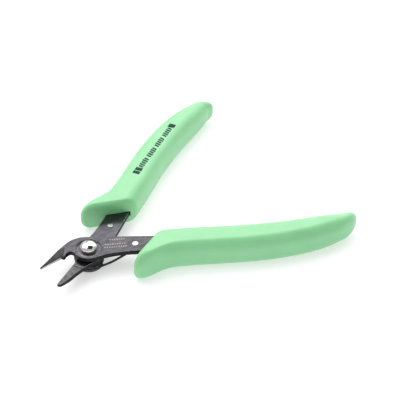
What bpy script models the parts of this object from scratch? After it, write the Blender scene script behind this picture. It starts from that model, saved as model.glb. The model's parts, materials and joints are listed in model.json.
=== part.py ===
"""Sprue nippers: a two-plate side cutter with a torsion spring and moulded grips.

Lengths below are in millimetres and are multiplied by MM, so the model is in metres.
The tool lies flat: +Z up, jaws towards -X, handles towards +X, the floor at Z = 0.
Outlines are given about the pivot; PIVOT places the pivot so that the middle of the
tool's footprint is at the origin.
"""

from math import cos, pi, radians, sin

import bmesh
import bpy
from mathutils import Vector

MM = 0.001

# Driving dimensions
JAW_REACH = 22.0            # pivot to the tip of the upper jaw
HANDLE_REACH = 104.6        # pivot to the end of a grip, along the tool
GRIP_SPREAD = 52.8          # how far the end of a grip stands off the tool's centre line
PLATE = 2.2                 # thickness of each stamped plate
GAP = 0.3                   # clearance between pieces that touch
INTERFACE_Z = 6.75          # middle of the gap between the two plates

BOSS_RADIUS = 6.4
SHANK_RADIUS = 2.2
HEAD_RADIUS = 3.6
HEAD_DOME = 1.9             # height of the domed part of the rivet's head
HEAD_EDGE = 1.0             # height of the straight edge below the dome
TAIL_RADIUS = 3.4
TAIL_BOTTOM = 0.1           # the closed rivet just clears the surface below
SPOT_FACE_RADIUS = 5.5
SPOT_FACE_DEPTH = 0.4

ROOT_LAND = 1.2             # upright part of the upper jaw's cutting edge, at its root
TIP_LAND = 0.65             # and beyond its tip
EDGE_SLOPE = 0.3            # rise of that slope for each millimetre back from the edge
GROUND_STEP = 0.15          # the lower jaw's ground face lies this far below its boss
TIP_THINNING = 1.1          # taken off the underside of the lower jaw at its tip

WIRE_RADIUS = 0.5
COIL_RADIUS = 5.7
COIL_TURNS = 1.5
COIL_PITCH = 1.15
REAR_LEG_Z = 3.6
FRONT_LEG_RISE = 2.6        # the front leg climbs this much from the coil to its post
LEG_PAST_POST = 2.4

POST_RADIUS = 1.25
POST_AT = (17.2, -9.3)      # front post; the rear one mirrors it
POST_CROWN = 0.12           # a post's end stands this far above its plate
POST_FOOT = 0.5             # and its foot this far below the wire

TANG_WIDTH = 6.4
TANG_BEND = (46.0, -28.6)
TANG_END = (76.0, -45.6)
POCKET_EXTRA = 0.8          # the grip's pocket is this much longer than the tang

GRIP_HEIGHT = 13.2
GRIP_CORNER = 6.0           # radius along the grip's upper long edges
UNDER_CORNER = 0.75         # the lower edges' radius, as a share of the upper ones'
GRIP_RIM = 2.3              # rounding round the grip's head end
TAIL_FALL = 0.14            # share of its height that the grip loses before its tail
TAIL_FLATNESS = 0.12        # share of the grip's height that its tail keeps
FRONT_GRIP_SLIDE = 1.2      # the front grip is pushed this much further up its arm

# What follows from the driving dimensions
UPPER_Z = INTERFACE_Z + GAP / 2
UPPER_TOP = UPPER_Z + PLATE
LOWER_Z = INTERFACE_Z - GAP / 2 - PLATE
LOWER_TOP = LOWER_Z + PLATE
FRONT_LEG_Z = REAR_LEG_Z - COIL_TURNS * COIL_PITCH
COLLAR_TOP = LOWER_Z - GAP
FLANGE_TOP = FRONT_LEG_Z - WIRE_RADIUS - GAP
FLANGE_BOTTOM = FLANGE_TOP - 0.5
REAR_POST_AT = (POST_AT[0], -POST_AT[1])
TANG_RUN = Vector((POST_AT[0] - TANG_END[0], POST_AT[1] - TANG_END[1])).normalized()
PIVOT = Vector((JAW_REACH - HANDLE_REACH, -TANG_RUN.y * FRONT_GRIP_SLIDE, 0.0)) / 2 * MM
UPPER_EDGE = ((-11.5, 3.1), (0.3 - JAW_REACH, 2.7))     # upper jaw's cutting edge, root and tip
ABOVE = 20.0                # a height that clears the whole tool


def clear_scene():
    for item in list(bpy.data.objects):
        bpy.data.objects.remove(item, do_unlink=True)


def material(name, colour, roughness, metallic):
    finish = bpy.data.materials.new(name)
    finish.use_nodes = True
    shader = finish.node_tree.nodes["Principled BSDF"]
    shader.inputs["Base Color"].default_value = (*colour, 1.0)
    shader.inputs["Roughness"].default_value = roughness
    shader.inputs["Metallic"].default_value = metallic
    return finish


def add_object(name, mesh_data, finish=None, parent=None):
    """Wrap a bmesh, drawn in millimetres about the pivot, as an object at the pivot."""
    bmesh.ops.recalc_face_normals(mesh_data, faces=mesh_data.faces)
    bmesh.ops.scale(mesh_data, vec=(MM, MM, MM), verts=mesh_data.verts)
    mesh = bpy.data.meshes.new(name)
    mesh_data.to_mesh(mesh)
    mesh_data.free()
    item = bpy.data.objects.new(name, mesh)
    bpy.context.scene.collection.objects.link(item)
    if parent is None:
        item.location = PIVOT
    else:
        item.parent = parent
    if finish is not None:
        mesh.materials.append(finish)
    return item


def smooth(item):
    item.data.shade_smooth()
    item.data.set_sharp_from_angle(angle=radians(35.0))


def cut(item, cutter):
    """Subtract a cutter, which moves with the piece that it cuts."""
    cutter.hide_render = True
    cutter.display_type = "WIRE"
    modifier = item.modifiers.new("cut_" + cutter.name, "BOOLEAN")
    modifier.operation = "DIFFERENCE"
    modifier.solver = "EXACT"
    modifier.object = cutter


def spline(points, steps):
    """Points along a smooth curve (Catmull-Rom) through the given ones."""
    knots = [Vector(p) for p in points]
    knots = [knots[0] * 2 - knots[1]] + knots + [knots[-1] * 2 - knots[-2]]
    curve = []
    for a, b, c, d in zip(knots, knots[1:], knots[2:], knots[3:]):
        for i in range(steps):
            t = i / steps
            bend = (2 * a - 5 * b + 4 * c - d) * t * t
            curve.append((2 * b + (c - a) * t + bend + (3 * b - a - 3 * c + d) * t ** 3) / 2)
    return curve + [knots[-2]]


def arc(radius, start, end, steps):
    """Points on a circle round the pivot, between two angles in degrees."""
    angles = [radians(start + (end - start) * i / steps) for i in range(steps + 1)]
    return [Vector((radius * cos(a), radius * sin(a))) for a in angles]


def mirrored(points):
    return [Vector((p[0], -p[1])) for p in points]


def prism(outline, bottom, top):
    """An upright solid with the given outline."""
    solid = bmesh.new()
    base = solid.faces.new([solid.verts.new((p[0], p[1], bottom)) for p in outline])
    risen = bmesh.ops.extrude_face_region(solid, geom=[base])
    lifted = [v for v in risen["geom"] if isinstance(v, bmesh.types.BMVert)]
    bmesh.ops.translate(solid, verts=lifted, vec=(0.0, 0.0, top - bottom))
    return solid


def turned(profile, centre=(0.0, 0.0), steps=40):
    """A solid of revolution about a vertical axis, from (radius, height) points."""
    solid = bmesh.new()
    verts = [solid.verts.new((centre[0] + r, centre[1], z)) for r, z in profile]
    edges = [solid.edges.new(pair) for pair in zip(verts, verts[1:])]
    if profile[0][0] > 0.0:
        edges.append(solid.edges.new((verts[-1], verts[0])))
    axis_at = (centre[0], centre[1], 0.0)
    bmesh.ops.spin(solid, geom=verts + edges, cent=axis_at, axis=(0, 0, 1),
                   angle=2 * pi, steps=steps, use_merge=True)
    bmesh.ops.remove_doubles(solid, verts=solid.verts, dist=0.001)
    return solid


# Plates

def tang_edges(clearance):
    """The tang's inner and outer edges, from inside the arm to its end, front handle."""
    start = Vector(POST_AT)
    bend = Vector(TANG_BEND)
    end = Vector(TANG_END)
    end += (end - bend).normalized() * clearance / GAP * POCKET_EXTRA
    half = TANG_WIDTH / 2 + clearance
    edges = []
    for side in (1, -1):
        edge = []
        for at, along in ((start, bend - start), (bend, end - start), (end, end - bend)):
            across = Vector((-along.y, along.x)).normalized()
            edge.append(at + across * half * side)
        edges.append(edge)
    return edges


def arm_outline(boss_side):
    """From the boss out along the inner edge, round the tang, and back to the boss."""
    inner, outer = tang_edges(0.0)
    shoulder_in = Vector((31.4, -13.6))
    shoulder_out = Vector((20.4, -16.4))
    outer_edge = spline([(13.0, -12.0), (9.1, -9.8), (4.4, -7.8), (0.4, -6.7)], 3)
    return boss_side + [shoulder_in] + inner[1:] + outer[:0:-1] + [shoulder_out] + outer_edge


def upper_plate_outline():
    """Jaw tip, outer edge over the boss, front arm, boss, throat and cutting edge."""
    tip = (-JAW_REACH, 3.2)
    crown = spline([tip, (-16.5, 4.8), (-9.6, 7.1), (-5.4, 8.4), (-2.0, 8.7), (1.3, 7.8), (4.2, 5.9)], 4)
    boss_front = arc(BOSS_RADIUS, -105, -188, 10)
    throat = spline([(-6.5, 2.1), (-7.3, 3.0), (-9.0, 2.9), (-9.9, 2.4)], 3)
    tooth = Vector((-11.05, 1.8))
    return arm_outline(crown) + boss_front + throat + [tooth] + [Vector(p) for p in UPPER_EDGE]


def lower_plate_outline():
    """Rear arm, the boss behind it, cutting edge, jaw tip, outer edge and boss."""
    boss_back = arc(BOSS_RADIUS, -105, -182, 10)
    boss_side = arc(BOSS_RADIUS, 55, 50, 1)[:1]
    arm = mirrored(arm_outline(boss_side) + boss_back)
    cutting_edge = [Vector((-7.2, -1.25)), Vector((-21.1, -8.15))]
    tip = [Vector((-21.0, -8.8)), Vector((-20.2, -9.3)), Vector((-18.9, -9.2))]
    outer_edge = spline([(-17.4, -8.9), (-14.2, -8.1), (-11.0, -7.2), (-6.9, -6.4), (-2.2, -6.2)], 3)
    return arm + cutting_edge + tip + outer_edge + arc(BOSS_RADIUS, -98, -60, 5)


def bar(first_end, second_end):
    """A solid between two matching rings of corners."""
    solid = bmesh.new()
    ends = [[solid.verts.new(corner) for corner in ring] for ring in (first_end, second_end)]
    solid.faces.new(ends[0])
    solid.faces.new(ends[1][::-1])
    count = len(first_end)
    for i in range(count):
        j = (i + 1) % count
        solid.faces.new((ends[0][i], ends[1][i], ends[1][j], ends[0][j]))
    return solid


def edge_slope_cutter():
    """What is ground off the upper jaw: a slope from its cutting edge up to its back."""
    rings = []
    for front_x, back_x, land in ((-12.1, -4.7, ROOT_LAND), (-24.0, -24.0, TIP_LAND)):
        ring = []
        for x, y in ((front_x, 1.0), (back_x, 10.0)):
            ring.append((x, y, UPPER_Z + land + EDGE_SLOPE * (y - UPPER_EDGE[0][1])))
        rings.append(ring + [(back_x, 10.0, ABOVE), (front_x, 1.0, ABOVE)])
    return bar(*rings)


def tip_cutter():
    """What is ground off under the lower jaw, from its root to its tip."""
    root = Vector((-14.0, -5.6, 0.0))
    tip = Vector((-22.4, -9.8, 0.0))
    along = (tip - root).normalized()
    side = Vector((-along.y, along.x, 0.0)) * 8.0
    up = Vector((0.0, 0.0, 1.0))
    below = up * (LOWER_Z - 3.0)
    corners = (root + below, tip + below, tip + up * (LOWER_Z + TIP_THINNING), root + up * (LOWER_Z - 0.2))
    return bar([c - side for c in corners], [c + side for c in corners])


def hole(name, centre, radius, low, high, parent):
    profile = [(0.0, low), (radius, low), (radius, high), (0.0, high)]
    return add_object(name, turned(profile, centre, 32), parent=parent)


def build_upper_blade(finish):
    blade = add_object("upper_blade", prism(upper_plate_outline(), UPPER_Z, UPPER_TOP), finish)
    spot_floor = UPPER_TOP - SPOT_FACE_DEPTH
    cut(blade, hole("upper_bore_cutter", (0, 0), SHANK_RADIUS + GAP, 0.0, ABOVE, blade))
    cut(blade, hole("spot_face_cutter", (0, 0), SPOT_FACE_RADIUS, spot_floor, ABOVE, blade))
    cut(blade, hole("front_post_bore_cutter", POST_AT, POST_RADIUS + GAP, 0.0, ABOVE, blade))
    cut(blade, add_object("upper_slope_cutter", edge_slope_cutter(), parent=blade))
    return blade


def build_lower_blade(finish, hinge):
    blade = add_object("lower_blade", prism(lower_plate_outline(), LOWER_Z, LOWER_TOP), finish, hinge)
    cut(blade, hole("lower_bore_cutter", (0, 0), SHANK_RADIUS + GAP, 0.0, ABOVE, hinge))
    cut(blade, hole("rear_post_bore_cutter", REAR_POST_AT, POST_RADIUS + GAP, 0.0, ABOVE, hinge))
    ground = [(-24.0, -12.0), (-5.0, -12.0), (-11.6, 1.0), (-24.0, 1.0)]
    step = prism(ground, LOWER_TOP - GROUND_STEP, ABOVE)
    cut(blade, add_object("ground_face_cutter", step, parent=hinge))
    cut(blade, add_object("lower_tip_cutter", tip_cutter(), parent=hinge))
    return blade


# Pivot, posts and spring

def build_rivet(finish):
    """Domed head in the spot face, shank through both plates, tail closed on the collar."""
    seat = UPPER_TOP - SPOT_FACE_DEPTH + GAP
    dome = []
    for degrees in range(90, 0, -10):
        a = radians(degrees)
        dome.append((HEAD_RADIUS * cos(a), seat + HEAD_EDGE + HEAD_DOME * sin(a)))
    tail = FLANGE_BOTTOM - GAP
    edge = [(HEAD_RADIUS, seat + HEAD_EDGE), (HEAD_RADIUS, seat + 0.15), (HEAD_RADIUS - 0.15, seat)]
    shank = [(SHANK_RADIUS, seat), (SHANK_RADIUS, tail)]
    foot = [(TAIL_RADIUS, tail), (TAIL_RADIUS - 0.3, TAIL_BOTTOM), (0.0, TAIL_BOTTOM)]
    rivet = add_object("pivot_rivet", turned(dome + edge + shank + foot), finish)
    smooth(rivet)
    return rivet


def build_collar(finish):
    """A flanged spool round the rivet, which carries the coil."""
    bore = SHANK_RADIUS + GAP
    spool = COIL_RADIUS - WIRE_RADIUS - GAP
    profile = [(bore, COLLAR_TOP), (spool, COLLAR_TOP), (spool, FLANGE_TOP)]
    profile += [(COIL_RADIUS, FLANGE_TOP), (COIL_RADIUS, FLANGE_BOTTOM), (bore, FLANGE_BOTTOM)]
    collar = add_object("rivet_collar", turned(profile), finish)
    smooth(collar)
    return collar


def build_post(name, centre, plate_top, wire_z, finish, parent=None):
    """A pin riveted into an arm, with its foot hanging down beside the spring's leg."""
    foot = wire_z - WIRE_RADIUS - POST_FOOT
    crown = plate_top + POST_CROWN
    profile = [(0.0, crown), (POST_RADIUS - 0.25, crown), (POST_RADIUS, plate_top - 0.05)]
    profile += [(POST_RADIUS, foot + 0.2), (POST_RADIUS - 0.2, foot), (0.0, foot)]
    post = add_object(name, turned(profile, centre, 24), finish, parent)
    smooth(post)
    return post


def build_spring(finish):
    """One wire: the rear leg, the coil winding down round the pivot, then the front leg."""
    leg_y = REAR_POST_AT[1] - POST_RADIUS - WIRE_RADIUS - GAP
    leg_x = POST_AT[0] + LEG_PAST_POST
    steps = 42
    path = [Vector((leg_x, leg_y, REAR_LEG_Z)), Vector((6.0, leg_y - 0.7, REAR_LEG_Z))]
    for i in range(steps + 1):
        turn = COIL_TURNS * i / steps
        a = pi / 2 + 2 * pi * turn
        path.append(Vector((COIL_RADIUS * cos(a), COIL_RADIUS * sin(a), REAR_LEG_Z - COIL_PITCH * turn)))
    path.append(Vector((6.0, 0.7 - leg_y, FRONT_LEG_Z + 0.35 * FRONT_LEG_RISE)))
    path.append(Vector((leg_x, -leg_y, FRONT_LEG_Z + FRONT_LEG_RISE)))
    curve = bpy.data.curves.new("return_spring", "CURVE")
    curve.dimensions = "3D"
    curve.bevel_depth = WIRE_RADIUS * MM
    curve.bevel_resolution = 2
    curve.use_fill_caps = True
    line = curve.splines.new("POLY")
    line.points.add(len(path) - 1)
    for point, at in zip(line.points, path):
        point.co = (*(at * MM), 1.0)
    spring = bpy.data.objects.new("return_spring", curve)
    spring.location = PIVOT
    bpy.context.scene.collection.objects.link(spring)
    curve.materials.append(finish)
    return spring


# Grips

def grip_section(inner, outer, height, corner, steps=5):
    """A ring round one station: a rounded rectangle standing across the grip."""
    across = inner - outer
    width = across.length
    across.normalize()
    top_corner = min(corner, width * 0.48, height * 0.48)
    middle = (inner + outer) / 2
    ring = []
    for quarter in range(4):
        sx = 1 if quarter in (0, 3) else -1
        sz = 1 if quarter in (0, 1) else -1
        radius = top_corner if sz > 0 else top_corner * UNDER_CORNER
        for i in range(steps):
            a = radians(quarter * 90 + 90 * i / (steps - 1))
            u = sx * (width / 2 - radius) + radius * cos(a)
            w = sz * (height / 2 - radius) + radius * sin(a)
            at = middle + across * u
            ring.append(Vector((at.x, at.y, GRIP_HEIGHT / 2 + w)))
    return ring


def head_rings(inner, outer, rim_end, steps=3):
    """The rounded rim round the slanted face where the arm goes in, up to one station."""
    face_line = (inner[0] - outer[0]).normalized()
    rings = []
    for i in range(steps + 1):
        a = pi / 2 * i / steps
        inset = GRIP_RIM * (1 - sin(a))
        rings.append(grip_section(inner[0].lerp(inner[rim_end], 1 - cos(a)) - face_line * inset,
                                  outer[0].lerp(outer[rim_end], 1 - cos(a)) + face_line * inset,
                                  GRIP_HEIGHT - 2 * inset, GRIP_CORNER))
    return rings


def tail_rings(inner, outer, steps=5):
    """The grip closes in a rounded end past its last station."""
    middle = (inner + outer) / 2
    beyond = Vector((HANDLE_REACH - 0.8, -GRIP_SPREAD)) - middle
    rings = []
    for i in range(1, steps):
        a = pi / 2 * i / steps
        shrink = cos(a)
        at = middle + beyond * sin(a)
        height = GRIP_HEIGHT * (1 - TAIL_FALL) * (TAIL_FLATNESS + (1 - TAIL_FLATNESS) * shrink)
        rings.append(grip_section(at + (inner - middle) * shrink, at + (outer - middle) * shrink,
                                  height, GRIP_CORNER * shrink))
    return rings


def height_at(share):
    """The grip's height, which falls a little over the last stretch before its tail."""
    last = max(0.0, (share - 0.75) / 0.25)
    return GRIP_HEIGHT * (1 - TAIL_FALL * last ** 2)


def grip_mesh():
    """The front grip, lofted from its slanted, flared head end to its tail."""
    inner = spline([(31.4, -10.8), (35.2, -12.9), (43.0, -17.8), (51.8, -23.6), (60.2, -28.9),
                    (69.3, -34.0), (78.4, -38.6), (88.3, -43.0), (96.0, -46.3), (100.4, -48.7)], 3)
    outer = spline([(8.8, -20.5), (12.9, -23.1), (23.3, -23.8), (31.9, -27.9), (41.4, -33.9),
                    (51.4, -40.2), (62.3, -46.2), (74.2, -51.3), (85.8, -54.7), (93.6, -55.4)], 3)
    last = len(inner) - 1
    stations = []
    for i in range(2, last + 1):
        stations.append(grip_section(inner[i], outer[i], height_at(i / last), GRIP_CORNER))
    rings = head_rings(inner, outer, 1) + stations + tail_rings(inner[-1], outer[-1])
    solid = bmesh.new()
    loops = [[solid.verts.new(p) for p in ring] for ring in rings]
    count = len(loops[0])
    for first, second in zip(loops, loops[1:]):
        for i in range(count):
            j = (i + 1) % count
            solid.faces.new((first[i], first[j], second[j], second[i]))
    solid.faces.new(loops[0][::-1])
    solid.faces.new(loops[-1])
    bmesh.ops.remove_doubles(solid, verts=solid.verts, dist=0.01)
    return solid


def pocket_mesh(plate_bottom):
    """The pocket that the tang and the shoulders of the arm slide into."""
    inner, outer = tang_edges(GAP)
    mouth_in = [Vector((24.2, -8.0)), Vector((32.2, -13.7))]
    mouth_out = [Vector((20.5, -16.9)), Vector((12.8, -12.3))]
    outline = mouth_in + inner[1:] + outer[:0:-1] + mouth_out
    return prism(outline, plate_bottom - GAP, plate_bottom + PLATE + GAP)


def build_grip(name, finish, plate_bottom, slide=0.0, mirror=False, parent=None):
    body = grip_mesh()
    bmesh.ops.translate(body, verts=body.verts, vec=TANG_RUN.to_3d() * slide)
    pocket = pocket_mesh(plate_bottom)
    if mirror:
        for solid in (body, pocket):
            bmesh.ops.scale(solid, vec=(1, -1, 1), verts=solid.verts)
    grip = add_object(name, body, finish, parent)
    cut(grip, add_object(name + "_pocket_cutter", pocket, parent=parent or grip))
    smooth(grip)
    return grip


def main():
    clear_scene()
    black_steel = material("black_steel", (0.055, 0.055, 0.06), 0.42, 0.85)
    bright_steel = material("bright_steel", (0.78, 0.77, 0.75), 0.16, 1.0)
    spring_steel = material("spring_steel", (0.05, 0.05, 0.055), 0.35, 0.9)
    mint_grip = material("mint_grip", (0.36, 0.86, 0.47), 0.5, 0.0)

    hinge = bpy.data.objects.new("pivot_axis", None)
    hinge.location = PIVOT
    bpy.context.scene.collection.objects.link(hinge)

    build_upper_blade(black_steel)
    build_lower_blade(black_steel, hinge)
    build_rivet(bright_steel)
    build_collar(black_steel)
    build_spring(spring_steel)
    build_post("spring_post_front", POST_AT, UPPER_TOP, FRONT_LEG_Z + FRONT_LEG_RISE, bright_steel)
    build_post("spring_post_rear", REAR_POST_AT, LOWER_TOP, REAR_LEG_Z, bright_steel, hinge)
    build_grip("front_grip", mint_grip, UPPER_Z, slide=FRONT_GRIP_SLIDE)
    build_grip("rear_grip", mint_grip, LOWER_Z, mirror=True, parent=hinge)


main()
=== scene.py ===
"""Looks for the sprue nippers: fine meshes, finishes, floor, light and camera.

Shapes are drawn in millimetres about the pivot, +Z up, jaws towards -X, front handle
towards -Y, and scaled by MM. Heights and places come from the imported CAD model.
"""

import json
from math import cos, pi, radians, sin

import bmesh
import bpy
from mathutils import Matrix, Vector
from mathutils.bvhtree import BVHTree


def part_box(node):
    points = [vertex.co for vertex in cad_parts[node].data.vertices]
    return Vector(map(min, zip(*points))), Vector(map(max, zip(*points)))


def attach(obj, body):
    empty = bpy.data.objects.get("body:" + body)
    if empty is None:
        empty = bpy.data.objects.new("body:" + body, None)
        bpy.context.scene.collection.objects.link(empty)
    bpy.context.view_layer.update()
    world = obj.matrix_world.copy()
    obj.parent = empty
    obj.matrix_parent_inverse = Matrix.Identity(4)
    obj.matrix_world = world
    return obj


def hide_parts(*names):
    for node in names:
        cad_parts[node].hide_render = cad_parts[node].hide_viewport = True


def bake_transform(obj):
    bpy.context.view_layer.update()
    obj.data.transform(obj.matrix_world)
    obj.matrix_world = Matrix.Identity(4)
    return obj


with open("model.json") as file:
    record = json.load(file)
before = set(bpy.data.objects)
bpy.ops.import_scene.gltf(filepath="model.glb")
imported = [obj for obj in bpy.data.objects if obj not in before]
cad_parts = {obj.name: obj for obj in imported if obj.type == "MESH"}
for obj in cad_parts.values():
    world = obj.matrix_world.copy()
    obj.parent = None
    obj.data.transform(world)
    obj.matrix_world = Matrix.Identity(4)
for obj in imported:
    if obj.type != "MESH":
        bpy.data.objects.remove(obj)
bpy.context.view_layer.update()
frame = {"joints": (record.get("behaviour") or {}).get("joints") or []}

MM = 0.001

# Places and heights that the CAD model gives
PIVOT = Vector((*frame["joints"][0]["pos_m"][:2], 0.0))


def heights(node):
    """A CAD node's lowest and highest points, in millimetres."""
    low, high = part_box(node)
    return low.z / MM, high.z / MM


def centre(node):
    """The middle of a CAD node's footprint, in millimetres about the pivot."""
    low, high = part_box(node)
    middle = ((low + high) / 2 - PIVOT) / MM
    return middle.x, middle.y


UPPER_LOW, UPPER_TOP = heights("upper_blade")
LOWER_LOW, LOWER_TOP = heights("lower_blade")
RIVET_LOW, RIVET_TOP = heights("pivot_rivet")
COLLAR_LOW, COLLAR_TOP = heights("rivet_collar")
GRIP_HEIGHT = heights("front_grip")[1]
FRONT_POST = centre("spring_post_front")
REAR_POST = centre("spring_post_rear")

# Sizes that the CAD model shares
BOSS_RADIUS = 6.4
SHANK_RADIUS = 2.2
HEAD_RADIUS = 3.6
HEAD_EDGE = 1.0
TAIL_RADIUS = 3.4
SPOT_FACE_RADIUS = 5.5
SPOT_FACE_DEPTH = 0.4
GAP = 0.3
POST_RADIUS = 1.25
WIRE_RADIUS = 0.5
COIL_RADIUS = 5.7
COIL_TURNS = 1.5
COIL_PITCH = 1.15
REAR_LEG_Z = 3.6
FRONT_LEG_RISE = 2.6
FRONT_LEG_Z = REAR_LEG_Z - COIL_TURNS * COIL_PITCH
UPPER_EDGE = (Vector((-11.5, 3.1)), Vector((-21.7, 2.7)))
LOWER_EDGE = (Vector((-7.2, -1.25)), Vector((-21.1, -8.15)))
ROOT_LAND = 1.2
TIP_LAND = 0.65
EDGE_SLOPE = 0.3
GROUND_STEP = 0.15
TIP_THINNING = 1.1
TANG_WIDTH = 6.4
TANG_BEND = Vector((46.0, -28.6))
TANG_END = Vector((76.0, -45.6))
POCKET_EXTRA = 0.8
GRIP_CORNER = 6.0
UNDER_CORNER = 0.75
GRIP_RIM = 2.3
TAIL_FALL = 0.14
GRIP_END = Vector((103.8, -52.8))
TAIL_FLATNESS = 0.12
FRONT_GRIP_SLIDE = 1.2
TANG_RUN = (Vector(FRONT_POST) - TANG_END).normalized()

# Fine detail
CLOSE = GAP / 3             # clearance that the eye can see between pieces that touch
SEATED = GAP / 10           # clearance under a piece that is pressed home
PLATE_ROUNDING = 0.14       # the stamped plates' edges are rounded by this much
RING_GROOVE = 0.06          # depth of the groove round the spot face
PIN_CROWN = 0.07            # the posts' ends are domed by this much
EASED = 0.12                # rims and corners that are only just broken
TAIL_ROUNDING = 0.3
TAIL_DIMPLE = 1.0           # radius of the closing tool's mark under the rivet
PRINT_FROM = Vector((41.6, 25.0))         # the rear grip's print starts here
PRINT_TOWARDS = Vector((77.0, 44.8))      # and runs towards here
PRINT_BLOCKS = ((1.2, 2.0), (3.7, 2.2), (38.9, 2.8))    # middle and length, along the print
BLOCK_WIDTH = 3.2
BARS_FROM = 5.9             # the first bar's middle, along the print
PRINT_PITCH = 1.45          # spacing of the printed bars
PRINT_GROUPS = 4
BARS_IN_GROUP = 5
GROUP_SPACE = 1.0           # what is left between groups, on top of the pitch
INK_THICKNESS = 0.02
ETCH_ROWS = (((5.2, -3.6), 9.8), ((6.4, -2.2), 9.0), ((9.8, -0.8), 6.6))    # start and length
ETCH_PITCH = 0.92           # least spacing of the etched dashes
ETCH_WIDTH = 0.72
ETCH_THICKNESS = 0.006

# Camera, light and floor
AIM = Vector((0.0217, 0.0059, 0.0))
CAMERA_YAW = 37.28          # degrees that the view turns from +Y towards +X
CAMERA_ELEVATION = 38.98
CAMERA_DISTANCE = 0.6479
CAMERA_LENS = 131.5
FLOOR_HALF = 4.0
CARD_AT = (0.20, -0.12, 0.96)    # the dark card hangs this way from AIM: right, ahead and up
CARD_HALF = 0.46            # half the dark card's side
SKY_STRENGTH = 0.56
FLOOR_GLOW = 0.46           # the lit backing that keeps the shadows pale

# A noise's usual spread
NOISE_LOW = 0.3
NOISE_HIGH = 0.7

# A plate's finishes, in the order that it holds them, and what tells its faces apart
FACE, WALL, WORN_AND_HIGHLIT, GROUND, KEEN = range(5)
FLAT_NORMAL = 0.97          # the least upward part of the normal of a flat face,
SLOPE_NORMAL = 0.90         # of the upper jaw's ground slope
ROUNDING_NORMAL = 0.2       # and of a rounded edge
SLOPE_STARTS = -6.0         # the upper jaw's ground slope is all beyond this, along X


# Meshes

def add_object(name, mesh_data):
    """Wrap a bmesh, drawn in millimetres about the pivot, as an object at the pivot."""
    bmesh.ops.recalc_face_normals(mesh_data, faces=mesh_data.faces)
    bmesh.ops.scale(mesh_data, vec=(MM, MM, MM), verts=mesh_data.verts)
    mesh = bpy.data.meshes.new(name)
    mesh_data.to_mesh(mesh)
    mesh_data.free()
    item = bpy.data.objects.new(name, mesh)
    item.location = PIVOT
    bpy.context.scene.collection.objects.link(item)
    return item


def carve(item, cutters):
    """Cut shapes out of a piece, and remove them."""
    for cutter in cutters:
        modifier = item.modifiers.new("cut", "BOOLEAN")
        modifier.operation = "DIFFERENCE"
        modifier.solver = "EXACT"
        modifier.object = cutter
    shown = item.evaluated_get(bpy.context.evaluated_depsgraph_get())
    item.data = bpy.data.meshes.new_from_object(shown)
    item.modifiers.clear()
    for cutter in cutters:
        bpy.data.objects.remove(cutter)


def smooth(item, angle=35.0):
    """Smooth shading with crisp edges, and flat faces that stay flat."""
    item.data.shade_smooth()
    item.data.set_sharp_from_angle(angle=radians(angle))
    weighted = item.modifiers.new("flat_faces", "WEIGHTED_NORMAL")
    weighted.keep_sharp = True


def spline(points, steps):
    """Points along a smooth curve (Catmull-Rom) through the given ones."""
    knots = [Vector(p) for p in points]
    knots = [knots[0] * 2 - knots[1]] + knots + [knots[-1] * 2 - knots[-2]]
    curve = []
    for a, b, c, d in zip(knots, knots[1:], knots[2:], knots[3:]):
        for i in range(steps):
            t = i / steps
            bend = (2 * a - 5 * b + 4 * c - d) * t * t
            curve.append((2 * b + (c - a) * t + bend + (3 * b - a - 3 * c + d) * t ** 3) / 2)
    return curve + [knots[-2]]


def arc(radius, start, end, steps):
    """Points on a circle round the pivot, between two angles in degrees."""
    angles = [radians(start + (end - start) * i / steps) for i in range(steps + 1)]
    return [Vector((radius * cos(a), radius * sin(a))) for a in angles]


def mirrored(points):
    return [Vector((p[0], -p[1])) for p in points]


def loft(rings):
    """A closed solid through matching rings of points, with flat ends."""
    solid = bmesh.new()
    loops = [[solid.verts.new(p) for p in ring] for ring in rings]
    count = len(loops[0])
    for first, second in zip(loops, loops[1:]):
        for i in range(count):
            j = (i + 1) % count
            solid.faces.new((first[i], first[j], second[j], second[i]))
    solid.faces.new(loops[0][::-1])
    solid.faces.new(loops[-1])
    return solid


def prism(outline, bottom, top):
    return loft([[(p[0], p[1], z) for p in outline] for z in (bottom, top)])


def inset(outline, amount, keen):
    """The outline moved into its own area, except at the corners of a cutting edge."""
    pairs = zip(outline, outline[1:] + outline[:1])
    area = sum(a.x * b.y - b.x * a.y for a, b in pairs)
    inward = 1.0 if area > 0 else -1.0
    moved = []
    for before, at, after in zip(outline[-1:] + outline[:-1], outline, outline[1:] + outline[:1]):
        first = (at - before).normalized()
        second = (after - at).normalized()
        across = Vector((-first.y, first.x))
        normal = (across + Vector((-second.y, second.x))).normalized()
        reach = 0.0 if at in keen else amount / max(0.6, normal.dot(across))
        moved.append(at + normal * inward * reach)
    return moved


def stamped_plate(outline, bottom, top, keen=(), steps=3):
    """A plate whose edges are rounded, apart from the underside of a cutting edge."""
    rings = []
    for i in range(steps + 1):
        a = pi / 2 * i / steps
        ring = inset(outline, PLATE_ROUNDING * (1 - sin(a)), keen)
        height = bottom + PLATE_ROUNDING * (1 - cos(a))
        rings.append([(p.x, p.y, bottom if p in keen else height) for p in ring])
    for i in range(steps + 1):
        a = pi / 2 * i / steps
        ring = inset(outline, PLATE_ROUNDING * (1 - cos(a)), ())
        rings.append([(p.x, p.y, top - PLATE_ROUNDING * (1 - sin(a))) for p in ring])
    return loft(rings)


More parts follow.
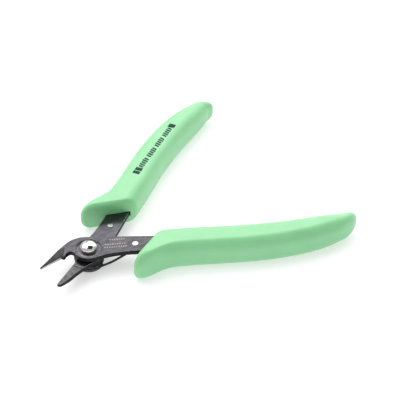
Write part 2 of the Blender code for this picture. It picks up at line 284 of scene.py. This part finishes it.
def turned(profile, at=(0.0, 0.0), steps=96):
    """A solid of revolution about a vertical axis, from (radius, height) points."""
    solid = bmesh.new()
    closed = profile[0][0] > 0.0
    loops = []
    for r, z in profile:
        if r == 0.0:
            loops.append([solid.verts.new((at[0], at[1], z))] * steps)
            continue
        turn = [2 * pi * i / steps for i in range(steps)]
        loops.append([solid.verts.new((at[0] + r * cos(a), at[1] + r * sin(a), z)) for a in turn])
    for first, second in zip(loops, loops[1:] + loops[:1] if closed else loops[1:]):
        for i in range(steps):
            j = (i + 1) % steps
            corners = []
            for corner in (first[i], first[j], second[j], second[i]):
                if corner not in corners:
                    corners.append(corner)
            solid.faces.new(corners)
    return solid


def hole(radius, low, high, at=(0.0, 0.0), flare=0.0):
    """A cutter for a round hole, whose rim may be eased where it meets the plate's top."""
    profile = [(0.0, low), (radius, low), (radius, high - flare), (radius + flare, high)]
    profile += [(radius + flare, high + 1.0), (0.0, high + 1.0)]
    return add_object("cutter", turned(profile, at, 64))


# Materials

def add_node(tree, kind, inputs=None, **settings):
    """A node with its settings, its inputs' values, and links where an input is a socket."""
    node = tree.nodes.new(kind)
    for name, value in settings.items():
        setattr(node, name, value)
    for name, value in (inputs or {}).items():
        if isinstance(value, bpy.types.NodeSocket):
            tree.links.new(value, node.inputs[name])
        else:
            node.inputs[name].default_value = value
    return node


def noise(tree, stretch, detail=4.0):
    """Noise in the object's own space: stretch is how many patches fit in a metre, by axis."""
    where = add_node(tree, "ShaderNodeTexCoord").outputs["Object"]
    spread = add_node(tree, "ShaderNodeVectorMath", {0: where, 1: stretch}, operation="MULTIPLY")
    values = {"Vector": spread.outputs[0], "Scale": 1.0, "Detail": detail, "Roughness": 0.55}
    return add_node(tree, "ShaderNodeTexNoise", values).outputs["Fac"]


def between(tree, pattern, low, high):
    """The pattern's usual spread mapped onto a range of numbers."""
    values = {"Value": pattern, "From Min": NOISE_LOW, "From Max": NOISE_HIGH,
              "To Min": low, "To Max": high}
    return add_node(tree, "ShaderNodeMapRange", values).outputs["Result"]


def colour_between(tree, pattern, dark, light):
    """The pattern's usual spread mapped onto a range of colours."""
    ramp = add_node(tree, "ShaderNodeValToRGB", {"Fac": pattern})
    ends = ((NOISE_LOW, dark), (NOISE_HIGH, light))
    for element, (position, colour) in zip(ramp.color_ramp.elements, ends):
        element.position = position
        element.color = (*colour, 1.0)
    return ramp.outputs["Color"]


def bumps(tree, pattern, strength, depth):
    values = {"Height": pattern, "Strength": strength, "Distance": depth * MM}
    return add_node(tree, "ShaderNodeBump", values).outputs["Normal"]


def finish(name, dark, light, stretch, roughness, grain, depth, **values):
    """A surface whose colour and roughness drift with one noise and whose grain is another.

    dark and light are the ends of its colour, stretch and grain are patches per metre,
    roughness is its lowest and highest value, and depth is the grain's, in millimetres.
    """
    made = bpy.data.materials.new(name)
    made.use_nodes = True
    tree = made.node_tree
    shader = tree.nodes["Principled BSDF"]
    for socket, value in values.items():
        shader.inputs[socket.replace("_", " ")].default_value = value
    drift = noise(tree, stretch)
    fine = noise(tree, grain, detail=3.0)
    tree.links.new(colour_between(tree, drift, dark, light), shader.inputs["Base Color"])
    tree.links.new(between(tree, fine, *roughness), shader.inputs["Roughness"])
    tree.links.new(bumps(tree, fine, 0.6, depth), shader.inputs["Normal"])
    return made


def black_face():
    """Ground, blackened and oiled: the plates' broad faces, with streaks along the tool."""
    return finish("black_face", (0.060, 0.058, 0.067), (0.122, 0.118, 0.128), (260, 900, 260),
                  (0.13, 0.22), (160, 3800, 160), 0.004, Metallic=0.95)


def black_edge():
    """The plates' stamped walls: blacker, and torn down their height by the die."""
    return finish("black_edge", (0.010, 0.010, 0.014), (0.025, 0.024, 0.029), (900, 900, 200),
                  (0.45, 0.6), (2600, 2600, 260), 0.03, Specular_IOR_Level=0.16)


def worn_edge_and_highlight():
    """The rounding along the plates' edges, given only where it faces up: a painted highlight, where the
    black has also begun to rub off.
    """
    return finish("worn_edge_and_highlight", (0.06, 0.06, 0.065), (0.34, 0.34, 0.34), (420, 420, 420),
                  (0.28, 0.45), (2400, 2400, 2400), 0.01, Metallic=0.95)


def ground_face(name, tone):
    """A jaw's ground face, with fine grinding lines across it; tone brightens it."""
    dark = (0.088 * tone, 0.088 * tone, 0.096 * tone)
    light = (0.145 * tone, 0.145 * tone, 0.15 * tone)
    return finish(name, dark, light, (700, 240, 700), (0.18, 0.30), (4200, 240, 4200), 0.006,
                  Metallic=0.95)


def keen_edge():
    """The cutting edge's bare land, honed bright."""
    return finish("keen_edge", (0.46, 0.46, 0.45), (0.66, 0.66, 0.65), (500, 500, 500),
                  (0.22, 0.34), (3600, 300, 3600), 0.006, Metallic=1.0)


def bright_steel(name, roughness, tone=1.0):
    """Turned and polished steel, with faint handling marks; tone darkens it, which on the rear pin is
    painted shade.
    """
    dark = (0.70 * tone, 0.70 * tone, 0.69 * tone)
    light = (0.90 * tone, 0.90 * tone, 0.89 * tone)
    return finish(name, dark, light, (700, 700, 700), roughness, (1900, 1900, 1900), 0.004, Metallic=1.0)


def collar_steel():
    """Turned and blackened, brighter than the plates' torn walls."""
    return finish("blackened_collar", (0.07, 0.07, 0.076), (0.13, 0.13, 0.137), (900, 900, 900),
                  (0.3, 0.42), (1200, 1200, 4200), 0.008, Metallic=0.9)


def spring_wire():
    return finish("spring_wire", (0.045, 0.045, 0.05), (0.10, 0.10, 0.107), (900, 900, 900),
                  (0.24, 0.40), (2600, 2600, 2600), 0.008, Metallic=0.9)


def mint_vinyl():
    """Soft moulded vinyl: satin, a little translucent, with a fine orange-peel skin."""
    return finish("mint_vinyl", (0.24, 0.655, 0.305), (0.265, 0.695, 0.33), (110, 110, 110),
                  (0.38, 0.50), (1500, 1500, 1500), 0.012, Subsurface_Weight=0.12,
                  Subsurface_Radius=(0.6, 1.0, 0.6), Subsurface_Scale=2 * MM,
                  Specular_IOR_Level=1.0, Sheen_Weight=0.25, Sheen_Roughness=0.5)


def print_ink():
    """Pad-printed ink, rubbed a little thin in places."""
    return finish("print_ink", (0.010, 0.045, 0.032), (0.022, 0.085, 0.058), (900, 900, 900),
                  (0.55, 0.7), (2600, 2600, 2600), 0.004, Specular_IOR_Level=0.15)


def etched_steel():
    return finish("etched_steel", (0.25, 0.25, 0.25), (0.42, 0.42, 0.415), (1500, 1500, 1500),
                  (0.5, 0.7), (4000, 4000, 4000), 0.01, Metallic=0.7)


# Plates

def tang_edges(clearance):
    """The tang's inner and outer edges, from inside the arm to its end, front handle."""
    start = Vector(FRONT_POST)
    end = TANG_END + (TANG_END - TANG_BEND).normalized() * clearance / GAP * POCKET_EXTRA
    half = TANG_WIDTH / 2 + clearance
    runs = ((start, TANG_BEND - start), (TANG_BEND, end - start), (end, end - TANG_BEND))
    edges = []
    for side in (1, -1):
        edge = []
        for at, along in runs:
            across = Vector((-along.y, along.x)).normalized()
            edge.append(at + across * half * side)
        edges.append(edge)
    return edges


def arm_outline(boss_side):
    """From the boss out along the inner edge, round the tang, and back to the boss."""
    inner, outer = tang_edges(0.0)
    shoulder_in = Vector((31.4, -13.6))
    shoulder_out = Vector((20.4, -16.4))
    outer_edge = spline([(13.0, -12.0), (9.1, -9.8), (4.4, -7.8), (0.4, -6.7)], 8)
    return boss_side + [shoulder_in] + inner[1:] + outer[:0:-1] + [shoulder_out] + outer_edge


def upper_outline():
    """Jaw tip, outer edge over the boss, front arm, boss, throat and cutting edge."""
    tip = (-22.0, 3.2)
    crown = spline([tip, (-16.5, 4.8), (-9.6, 7.1), (-5.4, 8.4), (-2.0, 8.7), (1.3, 7.8), (4.2, 5.9)], 9)
    boss_front = arc(BOSS_RADIUS, -105, -188, 34)
    throat = spline([(-6.5, 2.1), (-7.3, 3.0), (-9.0, 2.9), (-9.9, 2.4)], 7)
    tooth = Vector((-11.05, 1.8))
    return arm_outline(crown) + boss_front + throat + [tooth] + list(UPPER_EDGE)


def lower_outline():
    """Rear arm, the boss behind it, cutting edge, jaw tip, outer edge and boss."""
    boss_back = arc(BOSS_RADIUS, -105, -182, 32)
    boss_side = arc(BOSS_RADIUS, 55, 50, 1)[:1]
    arm = mirrored(arm_outline(boss_side) + boss_back)
    tip = [Vector((-21.0, -8.8)), Vector((-20.2, -9.3)), Vector((-18.9, -9.2))]
    outer = spline([(-17.4, -8.9), (-14.2, -8.1), (-11.0, -7.2), (-6.9, -6.4), (-2.2, -6.2)], 8)
    return arm + list(LOWER_EDGE) + tip + outer + arc(BOSS_RADIUS, -98, -60, 16)


def edge_slope_cutter():
    """What is ground off the upper jaw: a slope from its cutting edge up to its back."""
    rings = []
    for front_x, back_x, land in ((-12.1, -4.7, ROOT_LAND), (-24.0, -24.0, TIP_LAND)):
        ring = []
        for x, y in ((front_x, 1.0), (back_x, 10.0)):
            ring.append((x, y, UPPER_LOW + land + EDGE_SLOPE * (y - UPPER_EDGE[0].y)))
        rings.append(ring + [(back_x, 10.0, UPPER_TOP + 5.0), (front_x, 1.0, UPPER_TOP + 5.0)])
    return add_object("cutter", loft(rings))


def tip_cutter():
    """What is ground off under the lower jaw, from its root to its tip."""
    root = Vector((-14.0, -5.6, 0.0))
    tip = Vector((-22.4, -9.8, 0.0))
    along = (tip - root).normalized()
    side = Vector((-along.y, along.x, 0.0)) * 8.0
    below = Vector((0.0, 0.0, LOWER_LOW - 3.0))
    corners = (root + below, tip + below, tip + Vector((0.0, 0.0, LOWER_LOW + TIP_THINNING)),
               root + Vector((0.0, 0.0, LOWER_LOW - 0.2)))
    return add_object("cutter", loft([[c - side for c in corners], [c + side for c in corners]]))


def spot_face_cutter():
    """A flat seat for the rivet's head, with a groove round it where the tool's corner cut."""
    floor = UPPER_TOP - SPOT_FACE_DEPTH
    groove = floor - RING_GROOVE
    edge = SPOT_FACE_RADIUS - EASED
    profile = [(0.0, floor), (edge - 0.75, floor), (edge - 0.6, groove), (edge, groove)]
    profile += [(SPOT_FACE_RADIUS, groove + 0.15), (SPOT_FACE_RADIUS, UPPER_TOP - EASED)]
    profile += [(SPOT_FACE_RADIUS + EASED, UPPER_TOP), (SPOT_FACE_RADIUS + EASED, UPPER_TOP + 1.0)]
    profile += [(0.0, UPPER_TOP + 1.0)]
    return add_object("cutter", turned(profile))


def paint_plate(blade, finishes, is_ground, is_keen=None):
    """Give each face of a plate its finish by the way it faces."""
    for made in finishes:
        blade.data.materials.append(made)
    for polygon in blade.data.polygons:
        tilt = polygon.normal.z
        if is_keen is not None and is_keen(polygon):
            polygon.material_index = KEEN
        elif is_ground(polygon):
            polygon.material_index = GROUND
        elif abs(tilt) > FLAT_NORMAL:
            polygon.material_index = FACE
        # roundings that face up get the lighter finish: painted highlight as well as rubbed black
        elif tilt > ROUNDING_NORMAL:
            polygon.material_index = WORN_AND_HIGHLIT
        else:
            polygon.material_index = WALL


def build_upper_blade(finishes):
    plate = stamped_plate(upper_outline(), UPPER_LOW, UPPER_TOP, UPPER_EDGE)
    blade = add_object("upper_blade_fine", plate)
    bore = hole(SHANK_RADIUS + GAP, 0.0, UPPER_TOP + 1.0)
    post_bore = hole(POST_RADIUS + CLOSE, 0.0, UPPER_TOP, FRONT_POST, flare=EASED)
    carve(blade, [bore, spot_face_cutter(), post_bore, edge_slope_cutter()])

    def is_slope(polygon):
        on_slope = SLOPE_NORMAL < polygon.normal.z < FLAT_NORMAL
        return on_slope and polygon.center.x < SLOPE_STARTS * MM

    def is_keen(polygon):
        at_edge = polygon.center.x < UPPER_EDGE[0].x * MM and polygon.center.y < UPPER_EDGE[0].y * MM
        return at_edge and polygon.normal.y < -0.9

    paint_plate(blade, finishes, is_slope, is_keen)
    smooth(blade)
    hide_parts("upper_blade")
    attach(blade, "front_half")


def build_lower_blade(finishes):
    plate = stamped_plate(lower_outline(), LOWER_LOW, LOWER_TOP)
    blade = add_object("lower_blade_fine", plate)
    step_at = LOWER_TOP - GROUND_STEP
    ground = [(-24.0, -12.0), (-5.0, -12.0), (-11.6, 1.0), (-24.0, 1.0)]
    step = add_object("cutter", prism(ground, step_at, LOWER_TOP + 2.0))
    bore = hole(SHANK_RADIUS + GAP, 0.0, LOWER_TOP + 1.0)
    post_bore = hole(POST_RADIUS + CLOSE, 0.0, LOWER_TOP, REAR_POST, flare=EASED)
    carve(blade, [step, bore, post_bore, tip_cutter()])

    def is_jaw_face(polygon):
        return polygon.normal.z > FLAT_NORMAL and polygon.center.z < (LOWER_TOP - GROUND_STEP / 2) * MM

    paint_plate(blade, finishes, is_jaw_face)
    smooth(blade)
    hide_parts("lower_blade")
    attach(blade, "rear_half")


# Pivot, posts and spring

def build_rivet(made):
    """Domed head in the spot face, shank through both plates, and the tail closed below."""
    seat = UPPER_TOP - SPOT_FACE_DEPTH + SEATED
    rise = RIVET_TOP - seat - HEAD_EDGE
    profile = [(0.0, RIVET_TOP)]
    for i in range(1, 19):
        a = pi / 2 * (1 - i / 18)
        profile.append((HEAD_RADIUS * cos(a), seat + HEAD_EDGE + rise * sin(a)))
    profile += [(HEAD_RADIUS, seat + EASED), (HEAD_RADIUS - EASED, seat), (SHANK_RADIUS, seat)]
    tail = COLLAR_LOW - SEATED
    profile += [(SHANK_RADIUS, tail), (TAIL_RADIUS - 0.1, tail), (TAIL_RADIUS, tail - 0.1)]
    for i in range(1, 7):
        a = pi / 2 * i / 6
        r = TAIL_RADIUS - TAIL_ROUNDING * (1 - cos(a))
        profile.append((r, tail - 0.1 - (tail - 0.1 - RIVET_LOW) * sin(a)))
    profile += [(TAIL_DIMPLE, RIVET_LOW), (TAIL_DIMPLE - 0.2, RIVET_LOW + 0.1), (0.0, RIVET_LOW + 0.1)]
    rivet = add_object("pivot_rivet_fine", turned(profile))
    rivet.data.materials.append(made)
    smooth(rivet)
    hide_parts("pivot_rivet")
    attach(rivet, "front_half")


def build_collar(made):
    """A flanged spool round the rivet, which carries the coil."""
    bore = SHANK_RADIUS + CLOSE
    spool = COIL_RADIUS - WIRE_RADIUS - CLOSE
    flange_top = FRONT_LEG_Z - WIRE_RADIUS - CLOSE
    profile = [(bore, COLLAR_TOP), (spool - 0.15, COLLAR_TOP), (spool, COLLAR_TOP - 0.15)]
    profile += [(spool, flange_top), (COIL_RADIUS - 0.1, flange_top), (COIL_RADIUS, flange_top - 0.1)]
    profile += [(COIL_RADIUS, COLLAR_LOW + 0.1), (COIL_RADIUS - 0.1, COLLAR_LOW), (bore, COLLAR_LOW)]
    collar = add_object("rivet_collar_fine", turned(profile))
    collar.data.materials.append(made)
    smooth(collar)
    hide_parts("rivet_collar")
    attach(collar, "front_half")


def build_post(node, body, at, made):
    """A pin riveted into an arm: a slightly crowned end, flush with the plate."""
    foot, crown = heights(node)
    profile = [(0.0, crown)]
    for i in range(1, 9):
        a = pi / 2 * (1 - i / 8)
        profile.append((POST_RADIUS * cos(a), crown - PIN_CROWN * (1 - sin(a))))
    profile += [(POST_RADIUS, foot + 0.2), (POST_RADIUS - 0.2, foot), (0.0, foot)]
    post = add_object(node + "_fine", turned(profile, at, 64))
    post.data.materials.append(made)
    smooth(post)
    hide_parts(node)
    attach(post, body)


def spring_path():
    """The wire's middle: rear leg, coil winding down round the pivot, front leg."""
    leg_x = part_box("return_spring")[1].x / MM - PIVOT.x / MM
    leg_y = REAR_POST[1] - POST_RADIUS - WIRE_RADIUS - CLOSE
    near_y = COIL_RADIUS + 0.3
    steps = 144
    coil = []
    for i in range(steps + 1):
        turn = COIL_TURNS * i / steps
        a = pi / 2 + 2 * pi * turn
        coil.append(Vector((COIL_RADIUS * cos(a), COIL_RADIUS * sin(a), REAR_LEG_Z - COIL_PITCH * turn)))
    rear_knots = [(leg_x, leg_y, REAR_LEG_Z), (13.0, leg_y, REAR_LEG_Z),
                  (6.6, leg_y - 0.4, REAR_LEG_Z), (2.4, near_y, REAR_LEG_Z), coil[0]]
    front_knots = [coil[-1]]
    for x, y, share in ((2.4, near_y, 0.13), (6.6, leg_y - 0.4, 0.4), (13.0, leg_y, 0.75),
                        (leg_x, leg_y, 1.0)):
        front_knots.append((x, -y, FRONT_LEG_Z + FRONT_LEG_RISE * share))
    return spline(rear_knots, 6)[:-1] + coil + spline(front_knots, 6)[1:]


def build_spring(made):
    """One round wire: a rear leg, a coil round the pivot and a front leg."""
    path = spring_path()
    rings = []
    for i, at in enumerate(path):
        along = (path[min(i + 1, len(path) - 1)] - path[max(i - 1, 0)]).normalized()
        side = along.cross(Vector((0.0, 0.0, 1.0))).normalized()
        up = side.cross(along)
        turns = [2 * pi * k / 16 for k in range(16)]
        rings.append([at + (side * cos(a) + up * sin(a)) * WIRE_RADIUS for a in turns])
    spring = add_object("return_spring_fine", loft(rings))
    spring.data.materials.append(made)
    spring.data.shade_smooth()
    spring.data.set_sharp_from_angle(angle=radians(50.0))
    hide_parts("return_spring")
    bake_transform(spring)


# Grips

def grip_section(inner, outer, height, corner, steps=13):
    """A ring round one station: a rounded rectangle standing across the grip."""
    across = inner - outer
    width = across.length
    across.normalize()
    top_corner = min(corner, width * 0.48, height * 0.48)
    middle = (inner + outer) / 2
    ring = []
    for quarter in range(4):
        sx = 1 if quarter in (0, 3) else -1
        sz = 1 if quarter in (0, 1) else -1
        radius = top_corner if sz > 0 else top_corner * UNDER_CORNER
        for i in range(steps):
            a = radians(quarter * 90 + 90 * i / (steps - 1))
            u = sx * (width / 2 - radius) + radius * cos(a)
            w = sz * (height / 2 - radius) + radius * sin(a)
            at = middle + across * u
            ring.append(Vector((at.x, at.y, GRIP_HEIGHT / 2 + w)))
    return ring


def head_rings(inner, outer, rim_end, steps=8):
    """The rounded rim round the slanted face where the arm goes in, up to one station."""
    face_line = (inner[0] - outer[0]).normalized()
    rings = []
    for i in range(steps + 1):
        a = pi / 2 * i / steps
        back = GRIP_RIM * (1 - sin(a))
        rings.append(grip_section(inner[0].lerp(inner[rim_end], 1 - cos(a)) - face_line * back,
                                  outer[0].lerp(outer[rim_end], 1 - cos(a)) + face_line * back,
                                  GRIP_HEIGHT - 2 * back, GRIP_CORNER))
    return rings


def tail_rings(inner, outer, steps=14):
    """The grip closes in a rounded end past its last station."""
    middle = (inner + outer) / 2
    rings = []
    for i in range(1, steps):
        a = pi / 2 * i / steps
        shrink = cos(a)
        at = middle + (GRIP_END - middle) * sin(a)
        height = GRIP_HEIGHT * (1 - TAIL_FALL) * (TAIL_FLATNESS + (1 - TAIL_FLATNESS) * shrink)
        rings.append(grip_section(at + (inner - middle) * shrink, at + (outer - middle) * shrink,
                                  height, GRIP_CORNER * shrink))
    return rings


def height_at(share):
    """The grip's height, which falls a little over the last stretch before its tail."""
    last = max(0.0, (share - 0.75) / 0.25)
    return GRIP_HEIGHT * (1 - TAIL_FALL * last ** 2)


def grip_solid():
    """The front grip, lofted from its slanted, flared head end to its tail."""
    inner = spline([(31.4, -10.8), (35.2, -12.9), (43.0, -17.8), (51.8, -23.6), (60.2, -28.9),
                    (69.3, -34.0), (78.4, -38.6), (88.3, -43.0), (96.0, -46.3), (100.4, -48.7)], 8)
    outer = spline([(8.8, -20.5), (12.9, -23.1), (23.3, -23.8), (31.9, -27.9), (41.4, -33.9),
                    (51.4, -40.2), (62.3, -46.2), (74.2, -51.3), (85.8, -54.7), (93.6, -55.4)], 8)
    last = len(inner) - 1
    stations = []
    for i in range(5, last + 1):
        stations.append(grip_section(inner[i], outer[i], height_at(i / last), GRIP_CORNER))
    solid = loft(head_rings(inner, outer, 4) + stations + tail_rings(inner[-1], outer[-1]))
    bmesh.ops.remove_doubles(solid, verts=solid.verts, dist=0.01)
    return solid


def pocket_solid(plate_low):
    """The pocket that the tang and the shoulders of the arm slide into."""
    inner, outer = tang_edges(GAP)
    mouth_in = [Vector((24.2, -8.0)), Vector((32.2, -13.7))]
    mouth_out = [Vector((20.5, -16.9)), Vector((12.8, -12.3))]
    outline = mouth_in + inner[1:] + outer[:0:-1] + mouth_out
    return prism(outline, plate_low - GAP / 2, plate_low + UPPER_TOP - UPPER_LOW + GAP / 2)


def build_grip(node, body, plate_low, slide, mirror, made):
    grip_mesh = grip_solid()
    bmesh.ops.translate(grip_mesh, verts=grip_mesh.verts, vec=TANG_RUN.to_3d() * slide)
    pocket_mesh = pocket_solid(plate_low)
    if mirror:
        for solid in (grip_mesh, pocket_mesh):
            bmesh.ops.scale(solid, vec=(1, -1, 1), verts=solid.verts)
    grip = add_object(node + "_fine", grip_mesh)
    carve(grip, [add_object("cutter", pocket_mesh)])
    grip.data.materials.append(made)
    smooth(grip, 60.0)
    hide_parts(node)
    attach(grip, body)
    return grip


# Generic marks

def slab(solid, corners, surface, thickness):
    """A thin closed film that follows the surface under its corners."""
    rings = [[], []]
    for x, y in corners:
        hit = surface.ray_cast(Vector((x, y, 50.0)) * MM, Vector((0.0, 0.0, -1.0)))[0]
        top = hit.z / MM + thickness
        rings[0].append(solid.verts.new((x, y, top - 4 * thickness)))
        rings[1].append(solid.verts.new((x, y, top)))
    solid.faces.new(rings[0][::-1])
    solid.faces.new(rings[1])
    count = len(corners)
    for i in range(count):
        j = (i + 1) % count
        solid.faces.new((rings[0][i], rings[0][j], rings[1][j], rings[1][i]))


def surface_of(item):
    return BVHTree.FromObject(item, bpy.context.evaluated_depsgraph_get())


def bar(middle, along, length, width, lean=0.0):
    """A slanted bar's corners, about its middle."""
    across = Vector((-along.y, along.x))
    run = along * length / 2
    side = across * width / 2
    tilt = along * lean / 2
    return [middle - run - side - tilt, middle + run - side - tilt,
            middle + run + side + tilt, middle - run + side + tilt]


def build_grip_print(grip, made):
    """Groups of plain slanted bars between solid blocks, printed along the rear grip."""
    along = (PRINT_TOWARDS - PRINT_FROM).normalized()
    surface = surface_of(grip)
    solid = bmesh.new()
    for middle, run in PRINT_BLOCKS:
        block = bar(PRINT_FROM + along * middle, along, run, BLOCK_WIDTH)
        slab(solid, block, surface, INK_THICKNESS)
    at = BARS_FROM
    for _ in range(PRINT_GROUPS):
        for i in range(BARS_IN_GROUP):
            width = 2.6 if i % 2 else 2.2
            middle = PRINT_FROM + along * (at + i * PRINT_PITCH)
            slab(solid, bar(middle, along, 1.0, width, 0.5), surface, INK_THICKNESS)
        at += BARS_IN_GROUP * PRINT_PITCH + GROUP_SPACE
    marks = add_object("grip_print", solid)
    marks.data.materials.append(made)
    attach(marks, "rear_half")


def build_arm_etch(blade, made):
    """Three rows of tiny plain dashes, etched on the front arm beside the post."""
    surface = surface_of(blade)
    solid = bmesh.new()
    along = Vector((0.866, -0.5))
    for start, length in ETCH_ROWS:
        count = int(length / ETCH_PITCH)
        for i in range(count):
            size = 0.5 if i % 3 else ETCH_WIDTH
            middle = Vector(start) + along * length * (i + 0.5) / count
            slab(solid, bar(middle, along, size, ETCH_WIDTH), surface, ETCH_THICKNESS)
    marks = add_object("arm_etch", solid)
    marks.data.materials.append(made)
    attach(marks, "front_half")


# Floor, light and camera

def view_axes():
    """The view's horizontal heading and its right-hand side, both level with the floor."""
    yaw = radians(CAMERA_YAW)
    return Vector((sin(yaw), cos(yaw), 0.0)), Vector((cos(yaw), -sin(yaw), 0.0))


def build_camera():
    heading = view_axes()[0]
    lift = radians(CAMERA_ELEVATION)
    back = Vector((0.0, 0.0, sin(lift))) - heading * cos(lift)
    data = bpy.data.cameras.new("view")
    data.lens = CAMERA_LENS
    camera = bpy.data.objects.new("view", data)
    camera.location = AIM + back * CAMERA_DISTANCE
    camera.rotation_euler = (-back).to_track_quat("-Z", "Y").to_euler()
    bpy.context.scene.collection.objects.link(camera)
    bpy.context.scene.camera = camera


def staged_sheet(name, corners, made):
    """A flat sheet that belongs to the studio, not to the tool."""
    solid = bmesh.new()
    solid.faces.new([solid.verts.new(corner) for corner in corners])
    mesh = bpy.data.meshes.new(name)
    solid.to_mesh(mesh)
    solid.free()
    mesh.materials.append(made)
    sheet = bpy.data.objects.new(name, mesh)
    bpy.context.scene.collection.objects.link(sheet)
    return sheet


def build_floor():
    paper = finish("floor_paper", (0.64, 0.64, 0.64), (0.66, 0.66, 0.66), (3, 3, 3),
                   (0.8, 0.9), (400, 400, 400), 0.01, Specular_IOR_Level=0.2,
                   Emission_Color=(1.0, 1.0, 1.0, 1.0), Emission_Strength=FLOOR_GLOW)
    half = FLOOR_HALF
    corners = [(-half, -half, 0.0), (half, -half, 0.0), (half, half, 0.0), (-half, half, 0.0)]
    staged_sheet("floor", corners, paper)


def add_light(name, side, ahead, height, size, power):
    """A soft square light aimed at the tool; side and ahead are as the camera sees it."""
    heading, right = view_axes()
    data = bpy.data.lights.new(name, "AREA")
    data.shape = "SQUARE"
    data.size = size
    data.energy = power
    light = bpy.data.objects.new(name, data)
    light.location = AIM + right * side + heading * ahead + Vector((0.0, 0.0, height))
    light.rotation_euler = (AIM - light.location).to_track_quat("-Z", "Y").to_euler()
    bpy.context.scene.collection.objects.link(light)


def build_card():
    """A dark card overhead, a little right and towards the camera: only shiny surfaces see it."""
    heading, right = view_axes()
    side, ahead, up = CARD_AT
    towards = (right * side + heading * ahead + Vector((0.0, 0.0, up))).normalized()
    across = towards.cross(heading).normalized() * CARD_HALF
    along = across.cross(towards).normalized() * CARD_HALF
    middle = AIM + towards
    corners = [middle + across + along, middle - across + along]
    corners += [middle - across - along, middle + across - along]
    felt = finish("card_felt", (0.02, 0.02, 0.02), (0.03, 0.03, 0.03), (9, 9, 9),
                  (0.9, 1.0), (90, 90, 90), 0.01, Specular_IOR_Level=0.0)
    card = staged_sheet("dark_card", corners, felt)
    card.visible_camera = False
    card.visible_diffuse = False
    card.visible_shadow = False


def build_light():
    world = bpy.data.worlds.new("studio")
    world.use_nodes = True
    sky = world.node_tree.nodes["Background"]
    sky.inputs["Color"].default_value = (1.0, 1.0, 1.0, 1.0)
    sky.inputs["Strength"].default_value = SKY_STRENGTH
    bpy.context.scene.world = world
    add_light("back_softbox", side=0.35, ahead=0.86, height=0.70, size=1.3, power=8.0)
    add_light("key", side=-0.65, ahead=0.45, height=1.2, size=1.5, power=14.0)
    bpy.context.scene.view_settings.view_transform = "Standard"


def main():
    plate_finishes = [black_face(), black_edge(), worn_edge_and_highlight()]
    build_upper_blade(plate_finishes + [ground_face("upper_slope", 0.3), keen_edge()])
    build_lower_blade(plate_finishes + [ground_face("ground_jaw", 0.8)])
    build_rivet(bright_steel("polished_rivet", (0.08, 0.2)))
    build_collar(collar_steel())
    pin = bright_steel("turned_pin", (0.18, 0.32))
    build_post("spring_post_front", "front_half", FRONT_POST, pin)
    # the rear pin is the front pin's steel darkened by its tone: painted shade
    build_post("spring_post_rear", "rear_half", REAR_POST, bright_steel("shaded_pin", (0.2, 0.34), 0.42))
    build_spring(spring_wire())
    vinyl = mint_vinyl()
    build_grip("front_grip", "front_half", UPPER_LOW, FRONT_GRIP_SLIDE, False, vinyl)
    rear_grip = build_grip("rear_grip", "rear_half", LOWER_LOW, 0.0, True, vinyl)
    build_grip_print(rear_grip, print_ink())
    build_arm_etch(bpy.data.objects["upper_blade_fine"], etched_steel())
    build_floor()
    build_card()
    build_light()
    build_camera()


main()
bpy.context.view_layer.update()
